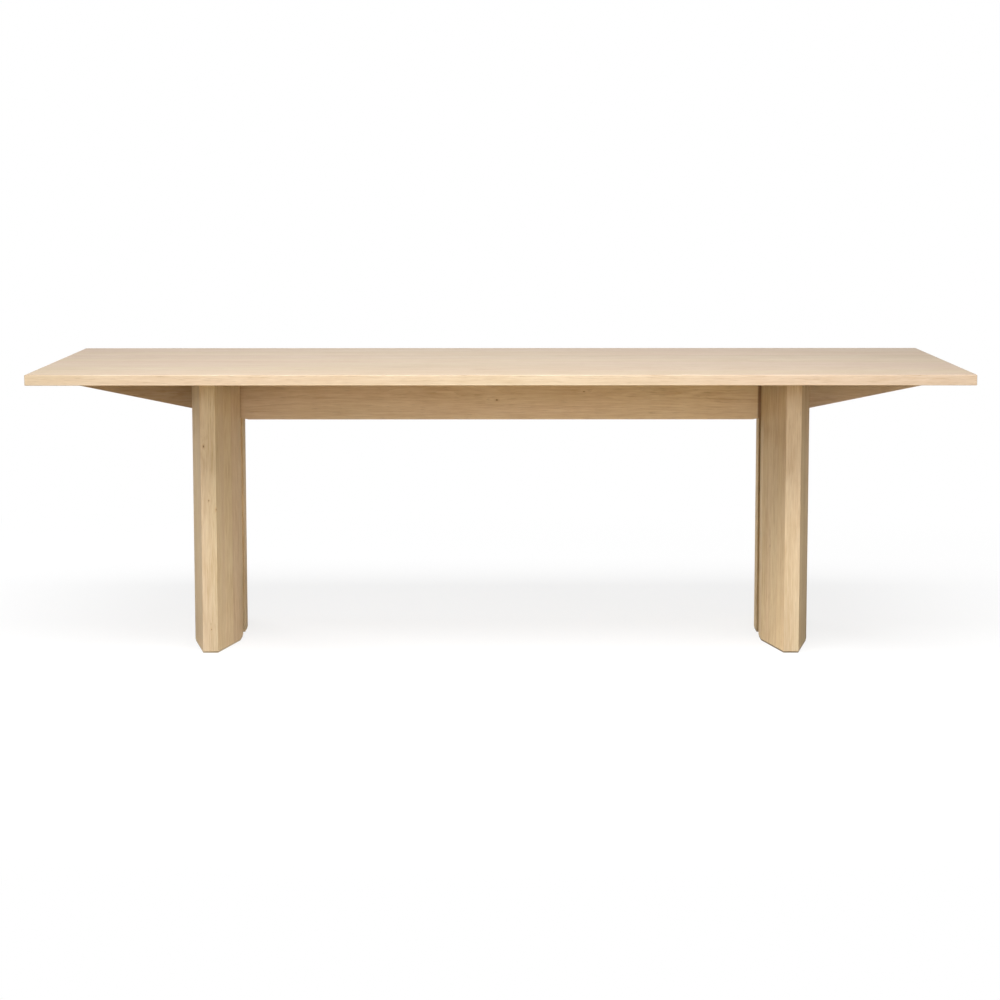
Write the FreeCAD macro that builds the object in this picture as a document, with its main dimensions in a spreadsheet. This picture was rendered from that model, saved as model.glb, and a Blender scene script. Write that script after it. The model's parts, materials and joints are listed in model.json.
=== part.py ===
import FreeCAD, Part
import math
import os
import Sketcher

# Communion table in solid oak, millimetres.
# Frame: origin on the floor under the middle of the top, +X along the table,
# +Y to the back, +Z up. The front is the -Y side, left is the -X side.
# The top is glued up from staves that run the length of the table. At each end a
# front post and a rear post stand with a gap between them, and one long beam runs
# through both gaps. Steel parts let into the underside hold it together.

Vector = FreeCAD.Vector
doc = FreeCAD.newDocument("communion_table")
sheet = doc.addObject("Spreadsheet::Sheet", "Dims")

# Driving dimensions: (alias, value). An alias in _dia is a diameter, in _ease the
# size of a rounded or bevelled edge, in _drive the flats of a hexagon socket.
SIZES = [
    # the whole table
    ("top_length", 2400.0), ("top_width", 1000.0), ("table_height", 750.0),
    ("top_thick", 27.0), ("stave_count", 7), ("top_ease", 1.6),
    # posts: widths at the outer end and past the knee, and distances along Y
    # from the middle of the table, outer end first
    ("post_centre", 764.0), ("post_nose", 40.0), ("post_full", 122.6),
    ("post_reach", 284.0), ("post_knee", 98.6), ("post_inner", 31.0),
    ("joint_one", 220.5), ("joint_two", 157.0), ("joint_three", 93.5),
    ("floor_gap", 3.0), ("post_ease", 2.0), ("foot_ease", 1.5),
    # beam: half lengths at the top and along the flat underside, depth at the tip
    ("beam_depth", 130.0), ("beam_half", 1140.0), ("beam_flat", 681.0),
    ("beam_tip", 37.5), ("beam_ease", 1.5),
    # stiffening channels under the top: distances from the middle, then section
    ("channel_near", 400.0), ("channel_far", 1020.0), ("channel_long", 840.0),
    ("channel_wide", 25.0), ("channel_deep", 12.0), ("channel_wall", 3.0),
    ("channel_ease", 1.5), ("channel_play", 0.5), ("slot_wide", 6.0), ("slot_long", 14.0),
    ("channel_last", 400.0), ("channel_end_play", 7.0), ("channel_corner", 6.0),
    # leg plates over the posts
    ("plate_wide", 190.0), ("plate_long", 540.0), ("plate_thick", 6.0), ("plate_play", 0.5),
    ("plate_corner", 12.0),
    # post bolts, from the plates down into the posts
    ("pbolt_dia", 8.0), ("pbolt_head", 14.0), ("pbolt_head_tall", 3.2), ("pbolt_long", 24.6),
    ("pbolt_drive", 5.0), ("pbolt_drive_deep", 1.92),
    ("pbolt_clear", 8.6), ("pbolt_bore", 15.0), ("pbolt_bore_deep", 3.4),
    ("pbolt_out", 246.0), ("pbolt_mid", 125.0), ("pbolt_side", 30.0),
    ("insert_dia", 12.0), ("insert_long", 20.0), ("pinsert_hole", 25.0),
    # top bolts, from the plates up into the top
    ("tbolt_dia", 6.0), ("tbolt_head", 11.0), ("tbolt_head_tall", 3.3), ("tbolt_long", 17.0),
    ("tbolt_drive", 4.0), ("tbolt_drive_deep", 1.98), ("tbolt_head_ease", 1.65),
    ("tbolt_clear", 6.6), ("tbolt_side", 78.0), ("tbolt_near", 100.0), ("tbolt_far", 240.0),
    ("tinsert_dia", 10.0), ("tinsert_long", 13.0), ("tinsert_hole", 20.0),
    # beam bolts, up through the beam
    ("bbolt_dia", 10.0), ("bbolt_head", 16.0), ("bbolt_head_tall", 10.0), ("bbolt_long", 74.0),
    ("bbolt_drive", 8.0), ("bbolt_drive_deep", 5.5), ("bbolt_head_ease", 0.8),
    ("bbolt_clear", 10.6), ("bbolt_bore", 22.0), ("bbolt_seat", 72.0),
    ("bbolt_one", 195.0), ("bbolt_two", 580.0), ("bbolt_end", 930.0),
    ("washer_dia", 21.0), ("washer_thick", 2.0),
    ("binsert_dia", 14.0), ("binsert_long", 14.0), ("binsert_hole", 16.0),
    # dowels through the beam into the posts
    ("dowel_dia", 16.0), ("dowel_long", 160.0), ("dowel_side", 30.0), ("dowel_height", 665.0),
    ("dowel_hole_deep", 50.0), ("dowel_ease", 1.5),
    # wood screws in the channels; the hole depth is measured above the channel
    ("screw_dia", 5.0), ("screw_head", 10.0), ("screw_head_tall", 3.0), ("screw_long", 14.0),
    ("screw_drive", 3.5), ("screw_drive_deep", 1.8), ("screw_head_ease", 1.2),
    ("screw_hole", 11.5),
    # levelling feet; a low or a high is a height above the floor
    ("foot_out", 250.0), ("foot_in", 62.0),
    ("pad_dia", 30.0), ("pad_tall", 8.0), ("pad_ease", 1.2),
    ("recess_dia", 34.0), ("recess_deep", 12.0),
    ("stud_dia", 8.0), ("stud_top", 52.0), ("stud_ease", 0.9),
    ("stud_hole_dia", 9.0), ("stud_hole_top", 60.0),
    ("flange_dia", 14.0), ("flange_low", 2.55), ("flange_high", 6.05), ("flange_ease", 0.6),
    ("cup_dia", 14.2), ("cup_low", 2.5), ("cup_high", 6.1), ("lip_dia", 10.4),
    ("nut_low", 8.4), ("nut_high", 13.4), ("nut_flats", 13.0),
    ("finsert_long", 18.0), ("finsert_spare", 0.5),
    # running and driving clearances on a diameter
    ("thread_play", 0.1), ("hole_play", 0.1),
]

OVERRUN = 1.0       # how far a through cut runs past the wood or steel
NEARLY = 1e-4       # positions closer than this are the same
LEAST_CHANGE = 1.0  # mm3 that every cut takes away and every later pad adds


class Size:
    """A length with the sheet formula it comes from, so a drawing follows the sheet."""

    def __init__(self, value, text):
        self.v = float(value)
        self.t = text

    def _join(self, value, sign, other):
        return Size(value, "(%s %s %s)" % (self.t, sign, other.t))

    def __add__(self, other):
        other = as_size(other)
        return self._join(self.v + other.v, "+", other)

    def __sub__(self, other):
        other = as_size(other)
        return self._join(self.v - other.v, "-", other)

    def __mul__(self, other):
        other = as_size(other)
        return self._join(self.v * other.v, "*", other)

    def __truediv__(self, other):
        other = as_size(other)
        return self._join(self.v / other.v, "/", other)

    def __neg__(self):
        return Size(-self.v, "(0 - %s)" % self.t)


def as_size(value):
    return value if isinstance(value, Size) else Size(value, repr(float(value)))


dim = {}
for row, (alias, value) in enumerate(SIZES, start=1):
    sheet.set("A%d" % row, alias.replace("_", " "))
    sheet.set("B%d" % row, repr(float(value)))
    sheet.setAlias("B%d" % row, alias)
    dim[alias] = Size(value, "Dims.%s" % alias)
doc.recompute()

ZERO = Size(0, "0")


# ---------------------------------------------------------------- bodies and sketches

bodies = []


def new_body(label, x=ZERO, y=ZERO, z=ZERO, turn=0.0):
    """A body for one piece, its position bound to the sheet, turned about Z by degrees."""
    body = doc.addObject("PartDesign::Body", label)
    body.Label = label
    body.AllowCompound = True
    body.Placement = FreeCAD.Placement(Vector(x.v, y.v, z.v),
                                       FreeCAD.Rotation(Vector(0, 0, 1), turn))
    for axis, size in (("x", x), ("y", y), ("z", z)):
        if size is not ZERO:
            body.setExpression("Placement.Base.%s" % axis, size.t)
    bodies.append(body)
    return body


class Drawing:
    """A sketch whose shapes and constraints are gathered first and then added together."""

    def __init__(self, body, name, plane="XY_Plane", offset=None):
        self.sketch = body.newObject("Sketcher::SketchObject", name)
        flat = [o for o in body.Origin.OriginFeatures if o.Role == plane][0]
        self.sketch.AttachmentSupport = [(flat, "")]
        self.sketch.MapMode = "FlatFace"
        if offset is not None:
            self.sketch.AttachmentOffset = FreeCAD.Placement(
                Vector(0, 0, offset.v), FreeCAD.Rotation())
            self.sketch.setExpression("AttachmentOffset.Base.z", offset.t)
        self.shapes = []
        self.rules = []
        self.formulas = []

    def add(self, shape):
        self.shapes.append(shape)
        return len(self.shapes) - 1

    def line(self, x0, y0, x1, y1):
        return self.add(Part.LineSegment(Vector(x0.v, y0.v, 0), Vector(x1.v, y1.v, 0)))

    def rule(self, *args, size=None):
        if size is not None:
            self.formulas.append((len(self.rules), size.t))
            args = args + (size.v,)
        self.rules.append(Sketcher.Constraint(*args))

    def pin(self, shape, point, x, y):
        """Fix a point of a shape at (x, y), each bound to the sheet."""
        for kind, aligned, size in (("DistanceX", "Vertical", x), ("DistanceY", "Horizontal", y)):
            if abs(size.v) < 1e-9:
                self.rule(aligned, -1, 1, shape, point)
            elif size.v > 0:
                self.rule(kind, -1, 1, shape, point, size=size)
            else:
                self.rule(kind, shape, point, -1, 1, size=-size)

    def polygon(self, points):
        count = len(points)
        first = len(self.shapes)
        for k in range(count):
            self.line(*points[k], *points[(k + 1) % count])
        for k in range(count):
            self.rule("Coincident", first + k, 2, first + (k + 1) % count, 1)
        for k in range(count):
            self.pin(first + k, 1, *points[k])

    def circle(self, x, y, dia):
        shape = self.add(Part.Circle(Vector(x.v, y.v, 0), Vector(0, 0, 1), dia.v / 2))
        self.pin(shape, 3, x, y)
        self.rule("Diameter", shape, size=dia)

    def hexagon(self, x, y, flats):
        radius = flats * (1.0 / math.sqrt(3.0))
        half = flats / 2
        self.polygon([(x + radius, y), (x + radius / 2, y + half), (x - radius / 2, y + half),
                      (x - radius, y), (x - radius / 2, y - half), (x + radius / 2, y - half)])

    def slot(self, x, y, wide, long):
        """A round-ended slot that runs along the second axis of the sketch."""
        radius = wide / 2
        run = (long - wide) / 2
        low, high = y - run, y + run

        def arc(level, start):
            ring = Part.Circle(Vector(x.v, level.v, 0), Vector(0, 0, 1), radius.v)
            return self.add(Part.ArcOfCircle(ring, start, start + math.pi))

        right = self.line(x + radius, low, x + radius, high)
        top = arc(high, 0)
        left = self.line(x - radius, high, x - radius, low)
        bottom = arc(low, math.pi)
        loop = [right, top, left, bottom]
        for k in range(4):
            self.rule("Coincident", loop[k], 2, loop[(k + 1) % 4], 1)
        self.pin(right, 1, x + radius, low)
        self.pin(right, 2, x + radius, high)
        self.pin(left, 1, x - radius, high)
        self.pin(left, 2, x - radius, low)
        for end, level in ((top, high), (bottom, low)):
            if level.v > 1e-9:
                self.rule("DistanceY", -1, 1, end, 3, size=level)
            elif level.v < -1e-9:
                self.rule("DistanceY", end, 3, -1, 1, size=-level)

    def done(self):
        self.sketch.addGeometry(self.shapes, False)
        self.sketch.addConstraint(self.rules)
        for index, text in self.formulas:
            self.sketch.setExpression("Constraints[%d]" % index, text)
        return self.sketch


def outline(body, name, *polygons, plane="XY_Plane", offset=None):
    drawing = Drawing(body, name, plane, offset)
    for points in polygons:
        drawing.polygon(points)
    return drawing.done()


def circles(body, name, spots, *diameters, plane="XY_Plane", offset=None):
    """One circle of each diameter at every spot."""
    drawing = Drawing(body, name, plane, offset)
    for x, y in spots:
        for dia in diameters:
            drawing.circle(x, y, dia)
    return drawing.done()


def hexagons(body, name, spots, flats, offset):
    drawing = Drawing(body, name, offset=offset)
    for x, y in spots:
        drawing.hexagon(x, y, flats)
    return drawing.done()


def rectangle(x0, x1, y0, y1):
    return [(x0, y0), (x1, y0), (x1, y1), (x0, y1)]


# ---------------------------------------------------------------- features

def extrude(body, kind, sketch, length, reverse):
    feature = body.newObject("PartDesign::" + kind, kind)
    feature.Profile = sketch
    feature.Length = length.v
    feature.setExpression("Length", length.t)
    feature.Reversed = reverse
    body.Tip = feature
    return feature


def pad(body, sketch, length, reverse=False):
    return extrude(body, "Pad", sketch, length, reverse)


def pocket(body, sketch, depth, reverse=False):
    return extrude(body, "Pocket", sketch, depth, reverse)


def ease(body, base, test, size, bevel=False):
    """Round or bevel the edges of base whose bounding box passes the test."""
    base.recompute(True)
    edges = enumerate(base.Shape.Edges, start=1)
    names = ["Edge%d" % n for n, edge in edges if test(edge.BoundBox)]
    if not names:
        raise RuntimeError("no edge found to ease on " + body.Label)
    feature = body.newObject("PartDesign::" + ("Chamfer" if bevel else "Fillet"), "Ease")
    feature.Base = (base, names)
    prop = "Size" if bevel else "Radius"
    setattr(feature, prop, size.v)
    feature.setExpression(prop, size.t)
    body.Tip = feature
    return feature


# Tests on the bounding box of an edge.

def near(a, b):
    return abs(a - b) < NEARLY


def flat_x(box):
    return near(box.XMin, box.XMax)


def flat_y(box):
    return near(box.YMin, box.YMax)


def flat_z(box):
    return near(box.ZMin, box.ZMax)


def at_y(box, y):
    return near(box.YMin, y) and near(box.YMax, y)


def at_z(box, z):
    return near(box.ZMin, z) and near(box.ZMax, z)


# ---------------------------------------------------------------- shared positions

under = dim["table_height"] - dim["top_thick"]      # underside of the top
post_tall = under - dim["floor_gap"]
beam_low = under - dim["beam_depth"]
bolt_seat = beam_low + dim["bbolt_seat"]
half_length = dim["top_length"] / 2
post_x = dim["post_centre"]
sides = [("left", -post_x), ("right", post_x)]
hole_play = dim["hole_play"]
insert_hole_dia = dim["insert_dia"] + hole_play

# staves, counted from the front
stave_wide = dim["top_width"] / dim["stave_count"]
stave_half = stave_wide / 2
STAVES = int(dim["stave_count"].v)
LAST = STAVES - 1
MIDDLE = LAST // 2
stave_y = [ZERO if k == MIDDLE else stave_wide * (k - MIDDLE) for k in range(STAVES)]

# each channel has one screw in every stave, on its centre line but for the outer two
channel_x = [-dim["channel_far"], -dim["channel_near"], dim["channel_near"], dim["channel_far"]]
screw_y = [-dim["channel_last"]] + stave_y[1:-1] + [dim["channel_last"]]
screw_spots = [(x, y) for x in channel_x for y in screw_y]

# six beam bolts go into inserts in the top, two more into the leg plates
beam_x = [dim["bbolt_one"], dim["bbolt_two"], dim["bbolt_end"]]
beam_x = [-x for x in reversed(beam_x)] + beam_x
beam_insert_spots = [(x, ZERO) for x in beam_x]
beam_bolt_spots = beam_insert_spots + [(-post_x, ZERO), (post_x, ZERO)]
dowel_x = [x + dim["dowel_side"] * way for _, x in sides for way in (-1, 1)]


def post_bolts_round(centre):
    spots = []
    for way in (-1, 1):
        spots.append((centre, dim["pbolt_out"] * way))
        spots.append((centre - dim["pbolt_side"], dim["pbolt_mid"] * way))
        spots.append((centre + dim["pbolt_side"], dim["pbolt_mid"] * way))
    return spots


def top_bolts_round(centre):
    rows = [-dim["tbolt_far"], -dim["tbolt_near"], dim["tbolt_near"], dim["tbolt_far"]]
    return [(centre + dim["tbolt_side"] * way, y) for way in (-1, 1) for y in rows]


post_bolt_spots = post_bolts_round(-post_x) + post_bolts_round(post_x)
top_bolt_spots = top_bolts_round(-post_x) + top_bolts_round(post_x)

# levellers: (end of the label, x, y)
feet = []
for side, centre in sides:
    for face, way in (("front", -1), ("rear", 1)):
        feet.append(("%s_%s_outer" % (face, side), centre, dim["foot_out"] * way))
        feet.append(("%s_%s_inner" % (face, side), centre, dim["foot_in"] * way))


# ---------------------------------------------------------------- fasteners

def fasteners(label, z, spots, kind, names, points_up=True, bevel=False):
    """Bolts or screws with the underside of the head at z; names are the three sketches."""
    body = new_body(label, z=z)
    head_name, shank_name, drive_name = names
    tall = dim[kind + "_head_tall"]
    tip = pad(body, circles(body, head_name, spots, dim[kind + "_head"]), tall, points_up)
    rim = dim.get(kind + "_head_ease")
    if rim:
        ease(body, tip, lambda box: near(box.ZMax, -tall.v), rim, bevel)
    shanks = circles(body, shank_name, spots, dim[kind + "_dia"])
    pad(body, shanks, dim[kind + "_long"], not points_up)
    drives = hexagons(body, drive_name, spots, dim[kind + "_drive"],
                      -tall if points_up else tall)
    pocket(body, drives, dim[kind + "_drive_deep"], points_up)


SCREW_NAMES = ("ScrewHeads", "ScrewShanks", "ScrewDrives")
BOLT_NAMES = ("BoltHeads", "BoltShanks", "BoltSockets")


def rings(label, name, z, spots, outer, inner, length, reverse=False):
    """Washers or inserts: plain rings that rise from z, or hang from it in reverse."""
    body = new_body(label, z=z)
    pad(body, circles(body, name, spots, outer, inner), length, reverse)


# ---------------------------------------------------------------- top

def stave_recess(body, k, name, centres, half_wide, reach, depth, corner, first, last):
    """Recesses across stave k, rounded where they end in the first or the last stave."""
    low = -reach - stave_y[k] if k == first else -stave_half - OVERRUN
    high = reach - stave_y[k] if k == last else stave_half + OVERRUN
    strips = [rectangle(x - half_wide, x + half_wide, low, high) for x in centres]
    tip = pocket(body, outline(body, name, *strips), depth, True)
    if k in (first, last):
        wall = low.v if k == first else high.v
        ease(body, tip, lambda box: at_y(box, wall) and flat_x(box), corner)


def top_stave(k):
    centre = stave_y[k]
    body = new_body("top_stave_%d" % (k + 1), ZERO, centre, under)
    board = rectangle(-half_length, half_length, -stave_half, stave_half)
    base = pad(body, outline(body, "StaveOutline", board), dim["top_thick"])
    outer = {0: -stave_half.v, LAST: stave_half.v}.get(k)

    def on_rim(box):
        end = flat_x(box) and near(abs(box.XMin), half_length.v) and flat_z(box)
        return end or (outer is not None and at_y(box, outer))

    ease(body, base, on_rim, dim["top_ease"])

    # everything below is cut from the underside
    stave_recess(body, k, "ChannelRecess", channel_x,
                 half_wide=dim["channel_wide"] / 2 + dim["channel_play"],
                 reach=dim["channel_long"] / 2 + dim["channel_end_play"],
                 depth=dim["channel_deep"], corner=dim["channel_corner"],
                 first=0, last=LAST)
    y = screw_y[k] - centre if k in (0, LAST) else ZERO
    holes = circles(body, "ScrewHoles", [(x, y) for x in channel_x], dim["screw_dia"] + hole_play)
    pocket(body, holes, dim["channel_deep"] + dim["screw_hole"], True)

    # the plates stop short of the outermost staves
    if 0 < k < LAST:
        stave_recess(body, k, "PlateRecess", (-post_x, post_x),
                     half_wide=dim["plate_wide"] / 2 + dim["plate_play"],
                     reach=dim["plate_long"] / 2 + dim["plate_play"],
                     depth=dim["plate_thick"], corner=dim["plate_corner"] + dim["plate_play"],
                     first=1, last=LAST - 1)
    spots = [(x, y - centre) for x, y in top_bolt_spots
             if centre.v - stave_half.v < y.v < centre.v + stave_half.v]
    if spots:
        holes = circles(body, "PlateInsertHoles", spots, dim["tinsert_dia"] + hole_play)
        pocket(body, holes, dim["tinsert_hole"], True)
    if k == MIDDLE:
        holes = circles(body, "BeamInsertHoles", beam_bolt_spots, dim["binsert_dia"] + hole_play)
        pocket(body, holes, dim["binsert_hole"], True)


def top_channel(number, x):
    """A steel channel, open side down, slotted across so that the oak can move."""
    body = new_body("top_channel_%d" % number, x, ZERO, under)
    half, wall, deep = dim["channel_wide"] / 2, dim["channel_wall"], dim["channel_deep"]
    section = [(-half, ZERO), (-half + wall, ZERO), (-half + wall, deep - wall),
               (half - wall, deep - wall), (half - wall, ZERO), (half, ZERO),
               (half, deep), (-half, deep)]
    sketch = outline(body, "ChannelSection", section, plane="XZ_Plane",
                     offset=dim["channel_long"] / 2)
    base = pad(body, sketch, dim["channel_long"], True)
    ease(body, base, lambda box: at_z(box, deep.v) and flat_x(box), dim["channel_ease"])
    drawing = Drawing(body, "ScrewSlots")
    for y in screw_y:
        drawing.slot(ZERO, y, dim["slot_wide"], dim["slot_long"])
    pocket(body, drawing.done(), deep + OVERRUN, True)


for k in range(STAVES):
    top_stave(k)
for number, x in enumerate(channel_x, start=1):
    top_channel(number, x)
fasteners("channel_screws", under + dim["channel_deep"] - dim["channel_wall"],
          screw_spots, "screw", SCREW_NAMES)

# ---------------------------------------------------------------- posts, four boards each

# Y distances of the board faces, from the outer end in to the beam
board_levels = [dim["post_reach"], dim["joint_one"], dim["joint_two"], dim["joint_three"],
                dim["post_inner"]]
OUTER, HEAD_PAIR, INNER = 0, 2, 3       # boards that carry holes
foot_y = {OUTER: -dim["foot_out"], INNER: -dim["foot_in"]}
head_spots = {
    OUTER: [(ZERO, -dim["pbolt_out"])],
    HEAD_PAIR: [(-dim["pbolt_side"], -dim["pbolt_mid"]), (dim["pbolt_side"], -dim["pbolt_mid"])],
}


def post_half_wide(reach):
    """Half the width of a post at a distance from the middle of the table."""
    if reach.v <= dim["post_knee"].v:
        return dim["post_full"] / 2
    slope = (dim["post_full"] - dim["post_nose"]) / 2 / (dim["post_reach"] - dim["post_knee"])
    return dim["post_nose"] / 2 + slope * (dim["post_reach"] - reach)


def foot_holes(body, y):
    """Recess, insert hole and stud hole for a leveller."""
    for name, dia, depth in (
            ("FootRecess", dim["recess_dia"], dim["recess_deep"]),
            ("FootInsertHole", insert_hole_dia,
             dim["recess_deep"] + dim["finsert_long"] + dim["finsert_spare"]),
            ("FootStudHole", dim["stud_hole_dia"], dim["stud_hole_top"] - dim["floor_gap"])):
        pocket(body, circles(body, name, [(ZERO, y)], dia), depth, True)


def post_board(label, x, turn, k):
    """Board k of a post, drawn for the front and turned half round for the rear."""
    body = new_body(label, x, ZERO, dim["floor_gap"], turn)
    outer, inner, knee = board_levels[k], board_levels[k + 1], dim["post_knee"]
    reaches = [inner, outer]
    if inner.v < knee.v < outer.v:
        reaches.insert(1, knee)
    left = [(-post_half_wide(reach), -reach) for reach in reaches]
    right = [(post_half_wide(reach), -reach) for reach in reversed(reaches)]
    tip = pad(body, outline(body, "BoardOutline", left + right), post_tall)

    # upright arrises on the two ends of the post
    end = {OUTER: outer, INNER: inner}.get(k)
    if end:
        tip = ease(body, tip, lambda box: at_y(box, -end.v) and not flat_z(box),
                   dim["post_ease"])

    # the bevel round the foot leaves out the glue lines between boards
    def round_foot(box):
        glued = any(at_y(box, -joint.v) for joint in board_levels[1:-1])
        return at_z(box, 0) and not glued

    ease(body, tip, round_foot, dim["foot_ease"], bevel=True)

    if k in foot_y:
        foot_holes(body, foot_y[k])
    if k in head_spots:
        holes = circles(body, "HeadInsertHoles", head_spots[k], insert_hole_dia, offset=post_tall)
        pocket(body, holes, dim["pinsert_hole"])
    if k == INNER:
        height = dim["dowel_height"] - dim["floor_gap"]
        spots = [(dim["dowel_side"] * way, height) for way in (-1, 1)]
        holes = circles(body, "DowelHoles", spots, dim["dowel_dia"] + hole_play,
                        plane="XZ_Plane", offset=dim["post_inner"])
        pocket(body, holes, dim["dowel_hole_deep"], True)


for side, centre in sides:
    for face, turn in (("front", 0.0), ("rear", 180.0)):
        for k in range(4):
            post_board("post_%s_%s_board_%d" % (face, side, k + 1), centre, turn, k)


# ---------------------------------------------------------------- beam, two boards

def beam_board(label, back):
    """One half of the beam, from the middle plane to the face of the posts."""
    body = new_body(label, z=beam_low)
    flat, half, deep = dim["beam_flat"], dim["beam_half"], dim["beam_depth"]
    rise = deep - dim["beam_tip"]
    side = [(-flat, ZERO), (flat, ZERO), (half, rise), (half, deep), (-half, deep), (-half, rise)]
    tip = pad(body, outline(body, "BeamSide", side, plane="XZ_Plane"), dim["post_inner"], back)
    face_y = dim["post_inner"].v if back else -dim["post_inner"].v
    # the lower arrises and both end arrises of the outer face
    ease(body, tip, lambda box: at_y(box, face_y) and not near(box.ZMin, deep.v),
         dim["beam_ease"])
    holes = circles(body, "BoltHoles", beam_bolt_spots, dim["bbolt_clear"])
    pocket(body, holes, deep + OVERRUN, True)
    bores = circles(body, "BoltCounterbores", beam_bolt_spots, dim["bbolt_bore"])
    pocket(body, bores, dim["bbolt_seat"], True)
    spots = [(x, dim["dowel_height"] - beam_low) for x in dowel_x]
    holes = circles(body, "DowelHoles", spots, dim["dowel_dia"] + hole_play, plane="XZ_Plane")
    pocket(body, holes, dim["post_inner"] + OVERRUN, not back)


def beam_dowels():
    body = new_body("beam_dowels")
    spots = [(x, dim["dowel_height"]) for x in dowel_x]
    sketch = circles(body, "Dowels", spots, dim["dowel_dia"], plane="XZ_Plane",
                     offset=dim["dowel_long"] / 2)
    base = pad(body, sketch, dim["dowel_long"], True)
    ease(body, base, flat_y, dim["dowel_ease"], bevel=True)


beam_board("beam_front_board", back=False)
beam_board("beam_rear_board", back=True)
beam_dowels()
washer_low = bolt_seat - dim["washer_thick"]
fasteners("beam_bolts", washer_low, beam_bolt_spots, "bbolt", BOLT_NAMES, bevel=True)
rings("beam_washers", "Washers", washer_low, beam_bolt_spots,
      dim["washer_dia"], dim["bbolt_clear"], dim["washer_thick"])
rings("beam_inserts", "Inserts", under, beam_insert_spots,
      dim["binsert_dia"], dim["bbolt_dia"] + dim["thread_play"], dim["binsert_long"])


# ---------------------------------------------------------------- leg plates and their bolts

def leg_plate(side, centre):
    body = new_body("leg_plate_" + side, centre, ZERO, under)
    wide, long, thick = dim["plate_wide"] / 2, dim["plate_long"] / 2, dim["plate_thick"]
    base = pad(body, outline(body, "PlateOutline", rectangle(-wide, wide, -long, long)), thick)
    ease(body, base, lambda box: flat_x(box) and flat_y(box), dim["plate_corner"])
    spots = post_bolts_round(ZERO)
    holes = circles(body, "PostBoltHoles", spots, dim["pbolt_clear"])
    pocket(body, holes, thick + OVERRUN, True)
    seats = circles(body, "PostBoltSeats", spots, dim["pbolt_bore"], offset=thick)
    pocket(body, seats, dim["pbolt_bore_deep"])
    drawing = Drawing(body, "TopBoltHoles")
    for x, y in top_bolts_round(ZERO):
        drawing.circle(x, y, dim["tbolt_clear"])
    # the middle hole takes the thread of a beam bolt
    drawing.circle(ZERO, ZERO, dim["bbolt_dia"] + dim["thread_play"])
    pocket(body, drawing.done(), thick + OVERRUN, True)


for side, centre in sides:
    leg_plate(side, centre)
fasteners("plate_post_bolts", under + dim["plate_thick"] - dim["pbolt_bore_deep"],
          post_bolt_spots, "pbolt", BOLT_NAMES, points_up=False)
rings("post_head_inserts", "Inserts", under, post_bolt_spots,
      dim["insert_dia"], dim["pbolt_dia"] + dim["thread_play"], dim["insert_long"], reverse=True)
fasteners("plate_top_bolts", under, top_bolt_spots, "tbolt", BOLT_NAMES)
rings("plate_top_inserts", "Inserts", under + dim["plate_thick"], top_bolt_spots,
      dim["tinsert_dia"], dim["tbolt_dia"] + dim["thread_play"], dim["tinsert_long"])

# ---------------------------------------------------------------- levelling feet

ON_AXIS = [(ZERO, ZERO)]


def leveller_pad(place, x, y):
    """A disc with a cup that holds the flange of the stud under a lip."""
    body = new_body("leveller_pad_" + place, x, y)
    tall = dim["pad_tall"]
    base = pad(body, circles(body, "PadOutline", ON_AXIS, dim["pad_dia"]), tall)
    ease(body, base, lambda box: near(box.ZMax, 0) or near(box.ZMin, tall.v), dim["pad_ease"])
    lip = circles(body, "CupLip", ON_AXIS, dim["lip_dia"], offset=tall)
    pocket(body, lip, tall - dim["cup_low"])
    section = outline(body, "CupSection",
                      rectangle(ZERO, dim["cup_dia"] / 2, dim["cup_low"], dim["cup_high"]),
                      plane="XZ_Plane")
    cup = body.newObject("PartDesign::Groove", "Cup")
    cup.Profile = section
    cup.ReferenceAxis = (section, ["V_Axis"])
    cup.Angle = 360.0
    body.Tip = cup


def leveller_stud(place, x, y):
    """Flange, threaded shank drawn plain, and a hexagon to turn it by."""
    body = new_body("leveller_stud_" + place, x, y)
    low = dim["flange_low"]
    flange = circles(body, "StudFoot", ON_AXIS, dim["flange_dia"], offset=low)
    base = pad(body, flange, dim["flange_high"] - low)
    ease(body, base, flat_z, dim["flange_ease"], bevel=True)
    sketch = circles(body, "StudShank", ON_AXIS, dim["stud_dia"], offset=low)
    shank = pad(body, sketch, dim["stud_top"] - low)
    ease(body, shank, lambda box: near(box.ZMin, dim["stud_top"].v), dim["stud_ease"], bevel=True)
    nut = hexagons(body, "StudHexagon", ON_AXIS, dim["nut_flats"], dim["nut_low"])
    pad(body, nut, dim["nut_high"] - dim["nut_low"])


rings("leveller_inserts", "Inserts", dim["floor_gap"] + dim["recess_deep"],
      [(x, y) for _, x, y in feet],
      dim["insert_dia"], dim["stud_dia"] + dim["thread_play"], dim["finsert_long"])
for place, x, y in feet:
    leveller_pad(place, x, y)
    leveller_stud(place, x, y)

doc.recompute()

# ---------------------------------------------------------------- sound features, then files

bad = [o.Label for o in doc.Objects if "Invalid" in o.State or "Error" in o.State]
if bad:
    raise RuntimeError("failed features: %s" % bad)
for feature in doc.Objects:
    if feature.TypeId in ("PartDesign::Pocket", "PartDesign::Groove"):
        if not feature.Shape.Volume < feature.BaseFeature.Shape.Volume - LEAST_CHANGE:
            owner = feature.getParentGeoFeatureGroup().Label
            raise RuntimeError("%s cuts nothing in %s" % (feature.Label, owner))
    if feature.TypeId == "PartDesign::Pad" and feature.BaseFeature is not None:
        if not feature.Shape.Volume > feature.BaseFeature.Shape.Volume + LEAST_CHANGE:
            raise RuntimeError("%s adds nothing" % feature.Label)

os.makedirs("parts", exist_ok=True)
for body in bodies:
    shape = body.Shape
    if shape.isNull() or not shape.isValid() or not shape.Solids:
        raise RuntimeError("bad shape: %s" % body.Label)
    shape.exportStep(os.path.join("parts", body.Label + ".step"))
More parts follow.
